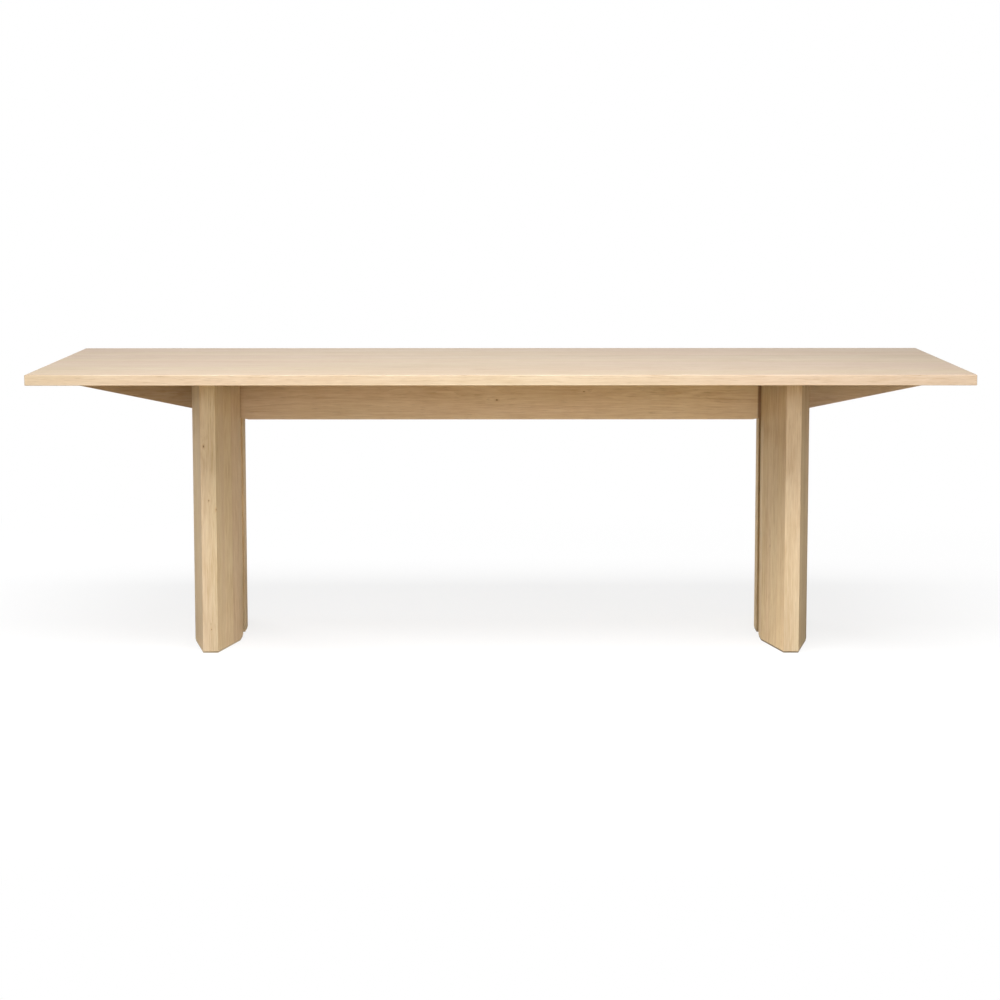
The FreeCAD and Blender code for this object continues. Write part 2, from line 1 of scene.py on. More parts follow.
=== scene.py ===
import bpy
import json
import math
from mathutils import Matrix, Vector

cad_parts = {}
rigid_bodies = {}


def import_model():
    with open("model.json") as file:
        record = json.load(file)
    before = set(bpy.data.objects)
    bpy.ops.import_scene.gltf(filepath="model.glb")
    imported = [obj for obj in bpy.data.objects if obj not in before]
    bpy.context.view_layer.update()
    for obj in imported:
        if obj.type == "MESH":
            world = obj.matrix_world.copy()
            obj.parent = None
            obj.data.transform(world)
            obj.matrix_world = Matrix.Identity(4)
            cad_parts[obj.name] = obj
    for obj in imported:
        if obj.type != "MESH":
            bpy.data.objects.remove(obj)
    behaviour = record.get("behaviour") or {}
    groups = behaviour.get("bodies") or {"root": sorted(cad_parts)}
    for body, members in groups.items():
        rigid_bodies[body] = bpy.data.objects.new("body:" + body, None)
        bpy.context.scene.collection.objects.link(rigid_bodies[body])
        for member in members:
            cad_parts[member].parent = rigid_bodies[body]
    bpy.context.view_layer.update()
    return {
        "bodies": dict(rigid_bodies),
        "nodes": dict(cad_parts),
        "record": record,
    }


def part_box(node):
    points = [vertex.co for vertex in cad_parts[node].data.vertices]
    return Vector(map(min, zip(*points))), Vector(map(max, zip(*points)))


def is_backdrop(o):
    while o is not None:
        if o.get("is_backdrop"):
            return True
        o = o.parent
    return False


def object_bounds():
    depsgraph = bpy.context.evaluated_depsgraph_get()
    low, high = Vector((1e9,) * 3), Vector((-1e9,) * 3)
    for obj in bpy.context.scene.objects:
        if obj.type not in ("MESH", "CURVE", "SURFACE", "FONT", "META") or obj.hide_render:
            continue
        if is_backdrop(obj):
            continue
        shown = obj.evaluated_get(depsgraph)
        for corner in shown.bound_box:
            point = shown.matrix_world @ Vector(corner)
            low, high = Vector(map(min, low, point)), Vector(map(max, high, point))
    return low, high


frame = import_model()
record = frame["record"]
scene = bpy.context.scene

# ------------------------------------------------------------------ shader helpers


def lin(r, g, b):
    """sRGB 0-255 to linear."""
    out = []
    for c in (r, g, b):
        c = c / 255.0
        out.append(c / 12.92 if c <= 0.04045 else ((c + 0.055) / 1.055) ** 2.4)
    return tuple(out)


class Net:
    """Builds shader nodes. A value may be a number, a tuple or another node's socket."""

    def __init__(self, tree):
        self.tree = tree

    def new(self, kind, **props):
        node = self.tree.nodes.new(kind)
        for key, value in props.items():
            setattr(node, key, value)
        return node

    def put(self, socket, value):
        if isinstance(value, bpy.types.NodeSocket):
            self.tree.links.new(value, socket)
        elif socket.type == "RGBA" and len(value) == 3:
            socket.default_value = (*value, 1.0)
        else:
            socket.default_value = value

    def math(self, op, a, b=None, c=None, clamp=False):
        node = self.new("ShaderNodeMath", operation=op, use_clamp=clamp)
        for i, v in enumerate((a, b, c)):
            if v is not None:
                self.put(node.inputs[i], v)
        return node.outputs[0]

    def add(self, a, b):
        return self.math("ADD", a, b)

    def sub(self, a, b):
        return self.math("SUBTRACT", a, b)

    def mul(self, a, b, clamp=False):
        return self.math("MULTIPLY", a, b, clamp=clamp)

    def div(self, a, b):
        return self.math("DIVIDE", a, b)

    def madd(self, a, b, c):
        return self.math("MULTIPLY_ADD", a, b, c)

    def vmath(self, op, a, b=None, scale=None):
        node = self.new("ShaderNodeVectorMath", operation=op)
        self.put(node.inputs[0], a)
        if b is not None:
            self.put(node.inputs[1], b)
        if scale is not None:
            self.put(node.inputs["Scale"], scale)
        return node.outputs["Value"] if op in ("LENGTH", "DISTANCE", "DOT_PRODUCT") else node.outputs["Vector"]

    def split(self, v):
        node = self.new("ShaderNodeSeparateXYZ")
        self.put(node.inputs[0], v)
        return node.outputs

    def join(self, x, y, z):
        node = self.new("ShaderNodeCombineXYZ")
        for s, v in zip(node.inputs, (x, y, z)):
            self.put(s, v)
        return node.outputs[0]

    def noise(self, vector, scale=1.0, detail=2.0, rough=0.5, distortion=0.0, w=None):
        node = self.new("ShaderNodeTexNoise")
        if w is not None:
            node.noise_dimensions = "4D"
            self.put(node.inputs["W"], w)
        self.put(node.inputs["Vector"], vector)
        node.inputs["Scale"].default_value = scale
        node.inputs["Detail"].default_value = detail
        node.inputs["Roughness"].default_value = rough
        node.inputs["Distortion"].default_value = distortion
        return node.outputs["Fac"]

    def voronoi(self, vector, scale=1.0, feature="F1", randomness=1.0):
        node = self.new("ShaderNodeTexVoronoi", feature=feature)
        self.put(node.inputs["Vector"], vector)
        node.inputs["Scale"].default_value = scale
        node.inputs["Randomness"].default_value = randomness
        return node.outputs["Distance"]

    def step(self, value, low, high, out_low=0.0, out_high=1.0):
        """A smooth step from out_low at low to out_high at high."""
        node = self.new("ShaderNodeMapRange", interpolation_type="SMOOTHSTEP")
        for s, v in zip(("Value", "From Min", "From Max", "To Min", "To Max"), (value, low, high, out_low, out_high)):
            self.put(node.inputs[s], v)
        return node.outputs["Result"]

    def remap(self, value, low, high, out_low, out_high, clamp=True):
        node = self.new("ShaderNodeMapRange", clamp=clamp)
        for s, v in zip(("Value", "From Min", "From Max", "To Min", "To Max"), (value, low, high, out_low, out_high)):
            self.put(node.inputs[s], v)
        return node.outputs["Result"]

    def mix(self, factor, a, b, blend="MIX"):
        node = self.new("ShaderNodeMix", data_type="RGBA", blend_type=blend)
        node.clamp_factor = True
        self.put(node.inputs[0], factor)
        self.put(node.inputs[6], a)
        self.put(node.inputs[7], b)
        return node.outputs[2]

    def coords(self):
        return self.new("ShaderNodeTexCoord").outputs["Object"]

    def bump(self, height, strength, distance, normal=None):
        node = self.new("ShaderNodeBump")
        self.put(node.inputs["Height"], height)
        self.put(node.inputs["Strength"], strength)
        self.put(node.inputs["Distance"], distance)
        if normal is not None:
            self.put(node.inputs["Normal"], normal)
        return node.outputs["Normal"]

    def edge(self, radius, samples=4):
        """1 on a flat face, less on an edge: the dot of the rounded and the true normal."""
        bevel = self.new("ShaderNodeBevel", samples=samples)
        bevel.inputs["Radius"].default_value = radius
        geo = self.new("ShaderNodeNewGeometry")
        return self.vmath("DOT_PRODUCT", bevel.outputs["Normal"], geo.outputs["Normal"])


def new_material(name):
    mat = bpy.data.materials.new(name)
    mat.use_nodes = True
    tree = mat.node_tree
    for n in list(tree.nodes):
        tree.nodes.remove(n)
    net = Net(tree)
    out = net.new("ShaderNodeOutputMaterial")
    bsdf = net.new("ShaderNodeBsdfPrincipled")
    tree.links.new(bsdf.outputs[0], out.inputs[0])
    return mat, net, bsdf


# ------------------------------------------------------------------ oak, as a solid wood

OAK_LIGHT = lin(222, 202, 176)
OAK_DARK = lin(194, 166, 132)
OAK_PORE = lin(126, 98, 68)
OAK_RAY = lin(230, 213, 190)


def build_oak_group():
    """Wood that is worked out in the solid: growth rings round a pith line that runs along X,
    pore lines, fibres, rays and slow drifts of tone. All lengths are metres."""
    group = bpy.data.node_groups.new("oak_solid", "ShaderNodeTree")
    face = group.interface
    for label, kind in (("Vector", "NodeSocketVector"), ("Seed", "NodeSocketFloat"), ("Pith Y", "NodeSocketFloat"),
                        ("Pith Z", "NodeSocketFloat"), ("Ring", "NodeSocketFloat"), ("Wander", "NodeSocketFloat"),
                        ("Fine", "NodeSocketFloat"), ("Bands", "NodeSocketFloat")):
        face.new_socket(label, in_out="INPUT", socket_type=kind)
    for label, kind in (("Color", "NodeSocketColor"), ("Roughness", "NodeSocketFloat"), ("Height", "NodeSocketFloat")):
        face.new_socket(label, in_out="OUTPUT", socket_type=kind)
    net = Net(group)
    gin = net.new("NodeGroupInput").outputs
    gout = net.new("NodeGroupOutput")

    place = gin["Vector"]
    shift = net.vmath("SCALE", (11.31, 5.73, 3.17), scale=gin["Seed"])
    moved = net.vmath("ADD", place, shift)

    def stretched(along, across):
        return net.vmath("MULTIPLY", moved, (along, across, across))

    x, y, z = net.split(place)
    dy = net.sub(y, gin["Pith Y"])
    dz = net.sub(z, gin["Pith Z"])
    radius = net.math("SQRT", net.add(net.mul(dy, dy), net.mul(dz, dz)))

    # the ring surfaces wander along and across the board, and ripple over short lengths
    slow = net.sub(net.noise(stretched(0.9, 4.0), detail=2.0, rough=0.5), 0.5)
    quick = net.sub(net.noise(stretched(6.0, 30.0), detail=2.0, rough=0.55), 0.5)
    ripple = net.sub(net.noise(stretched(24.0, 90.0), detail=1.0, rough=0.5), 0.5)
    bend = net.add(net.mul(slow, gin["Wander"]), net.mul(quick, net.mul(gin["Wander"], 0.22)))
    bent = net.add(radius, net.madd(ripple, 0.0022, bend))
    lane = net.noise(net.join(net.mul(bent, 55.0), gin["Seed"], 0.0), detail=1.0)
    rings = net.add(net.div(bent, gin["Ring"]), net.mul(lane, 2.2))
    phase = net.math("FRACT", rings)
    # early wood starts sharply and fades into late wood
    early = net.mul(net.step(phase, 0.0, 0.08), net.step(phase, 0.14, 0.70, 1.0, 0.0))
    strength = net.step(net.noise(net.join(net.mul(bent, 30.0), 7.3, gin["Seed"]), detail=1.0), 0.35, 0.70, 0.25, 1.0)
    broken = net.step(net.noise(stretched(9.0, 60.0), detail=2.0, rough=0.6), 0.36, 0.64, 0.35, 1.0)
    early = net.mul(early, net.mul(strength, broken))

    # pores: thin dashes along the grain, most of them in the early wood
    pore_noise = net.noise(stretched(34.0, 1250.0), detail=1.0, rough=0.4)
    pores = net.mul(net.step(pore_noise, 0.58, 0.68), net.madd(early, 0.8, 0.16))
    # fibres, short strokes, streaks and slow drifts of tone
    fibre = net.sub(net.noise(stretched(9.0, 520.0), detail=3.0, rough=0.6), 0.5)
    stroke = net.sub(net.noise(stretched(17.0, 230.0), detail=2.0, rough=0.55), 0.5)
    streak = net.sub(net.noise(stretched(0.75, 62.0), detail=4.0, rough=0.62), 0.5)
    band = net.sub(net.noise(stretched(0.45, 17.0), detail=2.0, rough=0.5), 0.5)
    drift = net.sub(net.noise(stretched(1.3, 5.0), detail=2.0, rough=0.5), 0.5)
    patch = net.sub(net.noise(stretched(7.0, 17.0), detail=2.0, rough=0.5), 0.5)

    # rays: thin across the rings' tangent, broad along the radius
    around = net.mul(net.math("ARCTAN2", dz, dy), 0.12)
    ray_place = net.join(net.madd(x, 30.0, gin["Seed"]), net.mul(bent, 70.0), net.mul(around, 850.0))
    rays = net.step(net.noise(ray_place, detail=1.0, rough=0.4), 0.62, 0.72)

    tone = net.mul(early, 0.30)
    tone = net.madd(fibre, net.mul(gin["Fine"], 0.80), tone)
    tone = net.madd(stroke, net.mul(gin["Fine"], 1.10), tone)
    tone = net.madd(streak, net.mul(gin["Bands"], 0.62), tone)
    tone = net.madd(band, net.mul(gin["Bands"], 0.45), tone)
    tone = net.madd(drift, 0.40, tone)
    tone = net.madd(patch, 0.42, tone)
    tone = net.math("ADD", tone, 0.34, clamp=True)
    color = net.mix(tone, OAK_LIGHT, OAK_DARK)
    color = net.mix(net.mul(rays, 0.26), color, OAK_RAY)
    color = net.mix(net.mul(pores, 0.62), color, OAK_PORE)
    # a little hue drift, pinker here and yellower there
    hue = net.noise(net.vmath("MULTIPLY", moved, (0.8, 7.0, 7.0)), detail=2.0)
    color = net.mix(1.0, color, net.mix(net.step(hue, 0.32, 0.68), (1.0, 0.972, 0.982), (0.985, 1.0, 0.952)), "MULTIPLY")

    rough = net.add(0.44, net.add(net.mul(early, 0.05), net.mul(pores, 0.18)))
    rough = net.madd(fibre, 0.06, rough)
    height = net.add(net.mul(pores, -1.0), net.add(net.mul(fibre, 0.35), net.mul(early, -0.22)))
    net.put(gout.inputs["Color"], color)
    net.put(gout.inputs["Roughness"], rough)
    net.put(gout.inputs["Height"], height)
    return group


OAK = build_oak_group()


# edge tones and strengths: worn lacquer on most boards, a painted highlight on the posts' inner boards, painted shade
# on the beam's edges
EDGE_WORN = (lin(236, 214, 180), 0.16)
EDGE_PAINTED_HIGHLIGHT = (lin(238, 218, 186), 0.40)
EDGE_SHADY = (lin(112, 84, 52), 0.42)


def oak_material(name, grain, centre, seed, pith, ring=0.0034, wander=0.030, tint=(1.0, 1.0, 1.0),
                 knots=(), streaks=(), joints=(), fine=1.0, bands=1.0, shade=None, slot_painted_shade=None, beam_end_painted_shade=None,
                 up_face_painted_sheen=None, near_floor_painted_light=None, edge_wear_and_painted_light=EDGE_WORN):
    """One board. grain is the axis its fibres run along, centre the board's middle, pith the
    (across, across) place of its pith line from that middle. shade (c0, c1, c2) is painted light and shade, a slow
    change of brightness along X; slot_painted_shade the painted shade, high and low, on a face that looks into the
    slot between two posts; beam_end_painted_shade the painted shade on the beam past the posts at its left and right
    ends; up_face_painted_sheen a painted sheen, a change of tone on a face that looks up; and near_floor_painted_light
    the painted light and shade near the floor on a post's nose, on its side towards the middle of the table and on its
    outer side."""
    mat, net, bsdf = new_material(name)
    here = net.coords()
    local = net.vmath("SUBTRACT", here, tuple(centre))
    sx, sy, sz = net.split(local)
    if grain == "X":
        board = net.join(sx, sy, sz)
    else:
        board = net.join(sz, sy, sx)

    # fibres run round each knot
    away = None
    for (kx, ky, kz, size) in knots:
        gap = net.vmath("SUBTRACT", here, (kx, ky, kz))
        squeeze = (0.30, 1.0, 1.0) if grain == "X" else (1.0, 1.0, 0.30)
        d = net.vmath("LENGTH", net.vmath("MULTIPLY", gap, squeeze))
        lift = net.mul(net.step(d, 0.0, size * 7.0, 1.0, 0.0), size * 1.5)
        away = lift if away is None else net.add(away, lift)
    if away is not None:
        bx, by, bz = net.split(board)
        board = net.join(bx, net.add(by, away), net.add(bz, away))

    oak = net.new("ShaderNodeGroup")
    oak.node_tree = OAK
    net.put(oak.inputs["Vector"], board)
    net.put(oak.inputs["Seed"], float(seed))
    net.put(oak.inputs["Pith Y"], float(pith[0]))
    net.put(oak.inputs["Pith Z"], float(pith[1]))
    net.put(oak.inputs["Ring"], float(ring))
    net.put(oak.inputs["Wander"], float(wander))
    net.put(oak.inputs["Fine"], float(fine))
    net.put(oak.inputs["Bands"], float(bands))
    color = net.mix(1.0, oak.outputs["Color"], tint, "MULTIPLY")
    hx, hy, hz = net.split(here)
    # painted light and shade: the brightness changes slowly along X
    if shade is not None:
        painted_light_gain = net.madd(net.mul(hx, hx), shade[2], net.madd(hx, shade[1], shade[0]))
        color = net.vmath("SCALE", color, scale=painted_light_gain)
    # painted shade on the beam past the posts: darkest next to the left post and fading towards its tip, a little
    # darker past the right post
    if beam_end_painted_shade is not None:
        left = net.mul(net.step(hx, -0.745, -0.715, 1.0, 0.0), net.remap(hx, -0.78, -1.13, 1.0 - beam_end_painted_shade[0], 0.10))
        right = net.step(hx, 0.715, 0.745, 0.0, 1.0 - beam_end_painted_shade[1])
        color = net.mix(1.0, color, net.join(net.sub(1.0, net.add(net.mul(left, 0.90), right)),
                                             net.sub(1.0, net.add(left, right)),
                                             net.sub(1.0, net.add(net.mul(left, 1.14), net.mul(right, 0.75)))), "MULTIPLY")
    # painted shade on a face that looks into the slot between two posts, darker higher up
    if slot_painted_shade is not None:
        inside = net.step(net.math("ABSOLUTE", hy), 0.0312, 0.0318, 1.0, 0.0)
        depth = net.mix(net.step(hz, 0.02, 0.50), slot_painted_shade[1], slot_painted_shade[0])
        color = net.mix(inside, color, net.mix(1.0, color, depth, "MULTIPLY"))

    geo = net.new("ShaderNodeNewGeometry")
    nx, ny, nz = net.split(geo.outputs["Normal"])
    # painted sheen: a face that looks up gets a change of tone in place of the lamps' reflection
    if up_face_painted_sheen is not None:
        color = net.mix(net.step(nz, 0.3, 0.9), color, net.vmath("MULTIPLY", color, up_face_painted_sheen))
    # painted light and shade near the floor: each nose darker towards the bottom, the sides lighter, and on the right
    # posts' outer sides darker
    if near_floor_painted_light is not None:
        nose = net.step(net.math("ABSOLUTE", ny), 0.5, 0.9)
        nose_low = net.step(hz, 0.02, 0.28, near_floor_painted_light[0], 0.0)
        side_low = net.mul(net.step(hz, 0.02, 0.40, 1.0, 0.0),
                           net.step(net.mul(nx, hx), -0.2, 0.2, near_floor_painted_light[1], near_floor_painted_light[2]))
        change = net.add(net.mul(nose, nose_low), net.mul(net.sub(1.0, nose), side_low))
        color = net.vmath("SCALE", color, scale=net.add(1.0, change))
    # end grain drinks more finish and reads darker
    facing = net.math("ABSOLUTE", nx if grain == "X" else nz)
    end = net.step(facing, 0.75, 0.97)
    color = net.mix(net.mul(end, 0.55), color, net.mix(1.0, color, (0.62, 0.55, 0.46), "MULTIPLY"))

    for (kx, ky, kz, size) in knots:
        gap = net.vmath("SUBTRACT", here, (kx, ky, kz))
        squeeze = (0.55, 1.0, 1.0) if grain == "X" else (1.0, 1.0, 0.55)
        d = net.vmath("LENGTH", net.vmath("MULTIPLY", gap, squeeze))
        halo = net.step(d, size * 0.6, size * 3.0, 1.0, 0.0)
        heart = net.step(d, size * 0.45, size, 1.0, 0.0)
        color = net.mix(net.mul(halo, 0.35), color, lin(176, 132, 82))
        color = net.mix(net.mul(heart, 0.85), color, lin(92, 62, 38))
    for (kx, ky, kz, long, wide, depth) in streaks:
        gap = net.vmath("SUBTRACT", here, (kx, ky, kz))
        squeeze = (1.0 / long, 1.0 / wide, 1.0 / wide) if grain == "X" else (1.0 / wide, 1.0 / wide, 1.0 / long)
        d = net.vmath("LENGTH", net.vmath("MULTIPLY", gap, squeeze))
        color = net.mix(net.mul(net.step(d, 0.0, 1.0, 1.0, 0.0), depth), color, lin(126, 98, 68))
    # dark lines: the glue line along each joint, and on the beam painted shade across X where it meets the posts:
    # (axis, place, half width, depth)
    for axis, place, wide, depth in joints:
        across = (hx, hy, hz)["XYZ".index(axis)]
        line = net.step(net.math("ABSOLUTE", net.sub(across, place)), wide * 0.3, wide, 1.0, 0.0)
        color = net.mix(net.mul(line, depth), color, lin(116, 76, 38))

    # handled edges: the lacquer wears thin and the wood shows a little paler and drier; on the inner board of each
    # post the paler edge is a painted highlight, and on the beam the darker edge is painted shade
    edge = net.step(net.edge(0.0022), 0.75, 0.985, 1.0, 0.0)
    color = net.mix(net.mul(edge, edge_wear_and_painted_light[1]), color, edge_wear_and_painted_light[0])
    net.put(bsdf.inputs["Base Color"], color)
    net.put(bsdf.inputs["Roughness"], net.add(oak.outputs["Roughness"], net.mul(edge, 0.06)))
    bsdf.inputs["Specular IOR Level"].default_value = 0.42
    bsdf.inputs["Coat Weight"].default_value = 0.10
    bsdf.inputs["Coat Roughness"].default_value = 0.38
    net.put(bsdf.inputs["Normal"], net.bump(oak.outputs["Height"], 0.30, 0.00035))
    return mat


# ------------------------------------------------------------------ other finishes


def steel_black():
    """Satin powder coat with a fine orange peel, and bare metal showing at worn edges."""
    mat, net, bsdf = new_material("black_powder_coat")
    here = net.coords()
    peel = net.noise(here, scale=900.0, detail=2.0, rough=0.5)
    cloud = net.noise(here, scale=14.0, detail=3.0)
    color = net.mix(cloud, lin(26, 26, 27), lin(38, 38, 39))
    worn = net.mul(net.step(net.edge(0.0012), 0.55, 0.95, 1.0, 0.0), net.step(net.noise(here, scale=60.0, detail=3.0), 0.50, 0.62))
    net.put(bsdf.inputs["Base Color"], net.mix(worn, color, lin(120, 118, 114)))
    net.put(bsdf.inputs["Metallic"], worn)
    net.put(bsdf.inputs["Roughness"], net.add(net.mul(cloud, 0.12), 0.38))
    net.put(bsdf.inputs["Normal"], net.bump(peel, 0.25, 0.00012))
    return mat


def zinc():
    """Bright zinc plate: fine turning marks, faint blue and yellow passivation."""
    mat, net, bsdf = new_material("zinc_plate")
    here = net.coords()
    x, y, z = net.split(here)
    turn = net.noise(net.join(net.mul(x, 25.0), net.mul(y, 25.0), net.mul(z, 2600.0)), detail=1.0)
    cloud = net.noise(here, scale=120.0, detail=3.0)
    color = net.mix(cloud, lin(196, 200, 206), lin(206, 202, 188))
    grime = net.mul(net.step(net.noise(here, scale=45.0, detail=4.0, rough=0.7), 0.52, 0.70), 0.45)
    color = net.mix(grime, color, lin(120, 112, 100))
    net.put(bsdf.inputs["Base Color"], color)
    bsdf.inputs["Metallic"].default_value = 1.0
    net.put(bsdf.inputs["Roughness"], net.add(net.mul(turn, 0.14), net.add(net.mul(grime, 0.35), 0.22)))
    net.put(bsdf.inputs["Normal"], net.bump(turn, 0.20, 0.00005))
    return mat


def brass():
    """Turned brass, slightly tarnished."""
    mat, net, bsdf = new_material("turned_brass")
    here = net.coords()
    x, y, z = net.split(here)
    turn = net.noise(net.join(net.mul(x, 20.0), net.mul(y, 20.0), net.mul(z, 2400.0)), detail=1.0)
    tarnish = net.step(net.noise(here, scale=55.0, detail=4.0, rough=0.65), 0.42, 0.72)
    color = net.mix(tarnish, lin(222, 184, 104), lin(150, 112, 58))
    net.put(bsdf.inputs["Base Color"], color)
    bsdf.inputs["Metallic"].default_value = 1.0
    net.put(bsdf.inputs["Roughness"], net.add(net.mul(turn, 0.12), net.add(net.mul(tarnish, 0.20), 0.20)))
    net.put(bsdf.inputs["Normal"], net.bump(turn, 0.22, 0.00006))
    return mat


def nylon():
    """Moulded black nylon: fine spark texture, scuffed grey where it meets the floor."""
    mat, net, bsdf = new_material("moulded_nylon")
    here = net.coords()
    grain = net.noise(here, scale=1400.0, detail=2.0, rough=0.6)
    cloud = net.noise(here, scale=60.0, detail=2.0)
    x, y, z = net.split(here)
    color = net.mix(cloud, lin(30, 30, 31), lin(44, 43, 42))
    scuff = net.mul(net.step(z, 0.0, 0.0016, 1.0, 0.0), net.step(net.noise(here, scale=220.0, detail=3.0), 0.42, 0.62))
    net.put(bsdf.inputs["Base Color"], net.mix(net.mul(scuff, 0.7), color, lin(112, 108, 102)))
    net.put(bsdf.inputs["Roughness"], net.add(net.mul(grain, 0.16), net.add(net.mul(scuff, 0.2), 0.42)))
    net.put(bsdf.inputs["Normal"], net.bump(grain, 0.35, 0.00008))
    return mat


# ------------------------------------------------------------------ put a finish on every part


def dress(node, mat):
    obj = frame["nodes"][node]
    obj.data.materials.clear()
    obj.data.materials.append(mat)
    for p in obj.data.polygons:
        p.material_index = 0


def middle(node):
    low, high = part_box(node)
    return (low + high) / 2, low, high


BLACK, ZINC, BRASS, NYLON = steel_black(), zinc(), brass(), nylon()

# top: (pith across, pith below or above), ring width, tint, from the front stave to the back one
STAVES = [
    ((0.030, -0.120), 0.0030, (0.901, 0.926, 0.956)),
    ((-0.020, 0.090), 0.0036, (0.883, 0.926, 0.971)),
    ((0.090, -0.060), 0.0028, (0.861, 0.893, 0.956)),
    ((-0.010, -0.075), 0.0034, (0.874, 0.907, 0.956)),
    ((0.050, 0.140), 0.0031, (0.852, 0.886, 0.956)),
    ((-0.110, -0.070), 0.0027, (0.870, 0.898, 0.961)),
    ((0.010, -0.100), 0.0033, (0.848, 0.886, 0.966)),
]
TOP_STREAKS = {2: [(-0.277, -0.232, 0.750, 0.080, 0.0045, 0.70), (-0.250, -0.238, 0.750, 0.150, 0.0150, 0.22)],
               4: [(0.642, 0.036, 0.750, 0.055, 0.0040, 0.65)]}
for i, (pith, ring, tint) in enumerate(STAVES):
    node = "top_stave_%d" % (i + 1)
    mid, low, high = middle(node)
    lines = []
    if i > 0:
        lines.append(("Y", low.y, 0.00045, 0.40))
    if i < 6:
        lines.append(("Y", high.y, 0.00045, 0.40))
    dress(node, oak_material("oak_" + node, "X", mid, 3.0 + 1.7 * i, pith, ring, 0.034, tint,
                             streaks=TOP_STREAKS.get(i + 1, ()), joints=lines, fine=0.85 if i else 0.60,
                             shade=(1.035, -0.033, -0.055), up_face_painted_sheen=(1.012, 0.998, 1.016)))

# painted shade in the slot between the front and rear posts: (high, low) tones for the left and the right posts
SLOT_PAINTED_SHADE = (((0.92, 0.86, 0.78), (0.95, 0.90, 0.84)), ((0.46, 0.38, 0.27), (0.88, 0.79, 0.69)))
POST_TINTS = [(0.969, 1.005, 0.987), (0.983, 1.016, 0.987), (0.939, 0.969, 0.946), (0.959, 0.995, 0.971)]
POST_KNOTS = {
    "post_front_left_board_1": [(-0.7752, -0.2840, 0.5464, 0.0021), (-0.7634, -0.2840, 0.4039, 0.0014),
                                (-0.7440, -0.2838, 0.3802, 0.0019), (-0.7611, -0.2840, 0.0621, 0.0010)],
    "post_front_right_board_2": [(0.7176, -0.1656, 0.2668, 0.0019)],
    "post_rear_left_board_1": [(-0.7585, 0.2840, 0.4710, 0.0020)],
    "post_rear_right_board_2": [(0.8080, 0.1750, 0.5200, 0.0020)],
    "post_rear_right_board_1": [(0.7705, 0.2840, 0.2140, 0.0018)],
}
for s, side in enumerate(("left", "right")):
    for f, face in enumerate(("front", "rear")):
        for b in range(4):
            node = "post_%s_%s_board_%d" % (face, side, b + 1)
            mid, low, high = middle(node)
            seed = 21.0 + 7.3 * s + 3.9 * f + 1.3 * b
            pith = (0.055 + 0.02 * ((b * 7 + s * 3 + f) % 4), (-0.05 + 0.035 * ((b * 5 + f * 3 + s) % 4)))
            t = POST_TINTS[(b + s + 2 * f) % 4]
            # painted light: the left posts' boards behind the nose are made lighter, for the stronger light from the
            # left
            if s == 0 and b > 0:
                lift = 1.105 if b == 3 else 1.03
                t = (t[0] * lift, t[1] * lift, t[2] * lift)
            lines = []
            if b > 0:
                lines.append(("Y", low.y if face == "front" else high.y, 0.00045, 0.40))
            if b < 3:
                lines.append(("Y", high.y if face == "front" else low.y, 0.00045, 0.40))
            dress(node, oak_material("oak_" + node, "Z", mid, seed, pith, 0.0029 + 0.0003 * ((b + s) % 3), 0.024, t,
                                     knots=POST_KNOTS.get(node, ()), joints=lines,
                                     bands=((1.3, 1.8), (1.37, 3.24))[b > 0][s],
                                     fine=((1.3, 1.3), (1.9, 2.2))[b > 0][s],
                                     near_floor_painted_light=(-0.10, (0.03, 0.20)[s], (0.03, -0.10)[s]),
                                     slot_painted_shade=SLOT_PAINTED_SHADE[s] if b == 3 else None,
                                     edge_wear_and_painted_light=EDGE_PAINTED_HIGHLIGHT if b == 3 else EDGE_WORN))

BEAM_KNOTS = {
    "beam_front_board": [(-0.0106, -0.0310, 0.6457, 0.0021), (0.2246, -0.0310, 0.6683, 0.0013)],
    "beam_rear_board": [(0.3420, 0.0310, 0.6600, 0.0022)],
}
# along Y the glue line between the beam's boards; across X painted shade where the beam meets the posts, widest as a
# painted shadow beside the right front post
BEAM_JOINTS_AND_PAINTED_SHADE = ([("Y", 0.0, 0.00045, 0.45), ("X", 0.6990, 0.0075, 0.85), ("X", -0.7025, 0.0015, 0.30)],
              [("Y", 0.0, 0.00045, 0.45), ("X", 0.7025, 0.0015, 0.40), ("X", -0.7025, 0.0015, 0.40)])
for i, node in enumerate(("beam_front_board", "beam_rear_board")):
    mid, low, high = middle(node)
    dress(node, oak_material("oak_" + node, "X", mid, 51.0 + 3.1 * i, ((-0.095, 0.105)[i], 0.012), 0.0031, 0.040,
                             (1.007, 1.012, 0.985), knots=BEAM_KNOTS.get(node, ()), joints=BEAM_JOINTS_AND_PAINTED_SHADE[i],
                             shade=((1.075, 0.17, 0.0), (1.04, 0.0, 0.0))[i], beam_end_painted_shade=((0.58, 0.76), None)[i],
                             edge_wear_and_painted_light=EDGE_SHADY))

for node, obj in frame["nodes"].items():
    if node.startswith(("top_channel", "leg_plate")):
        dress(node, BLACK)
    elif node.startswith("leveller_pad"):
        dress(node, NYLON)
    elif "insert" in node:
        dress(node, BRASS)
    elif node in ("channel_screws", "beam_bolts", "beam_washers", "plate_post_bolts", "plate_top_bolts") \
            or node.startswith("leveller_stud"):
        dress(node, ZINC)
mid, low, high = middle("beam_dowels")
dress("beam_dowels", oak_material("beech_dowels", "X", mid, 77.0, (0.02, 0.3), 0.0022, 0.01, (1.0, 0.93, 0.86)))

# ------------------------------------------------------------------ floor, light, camera


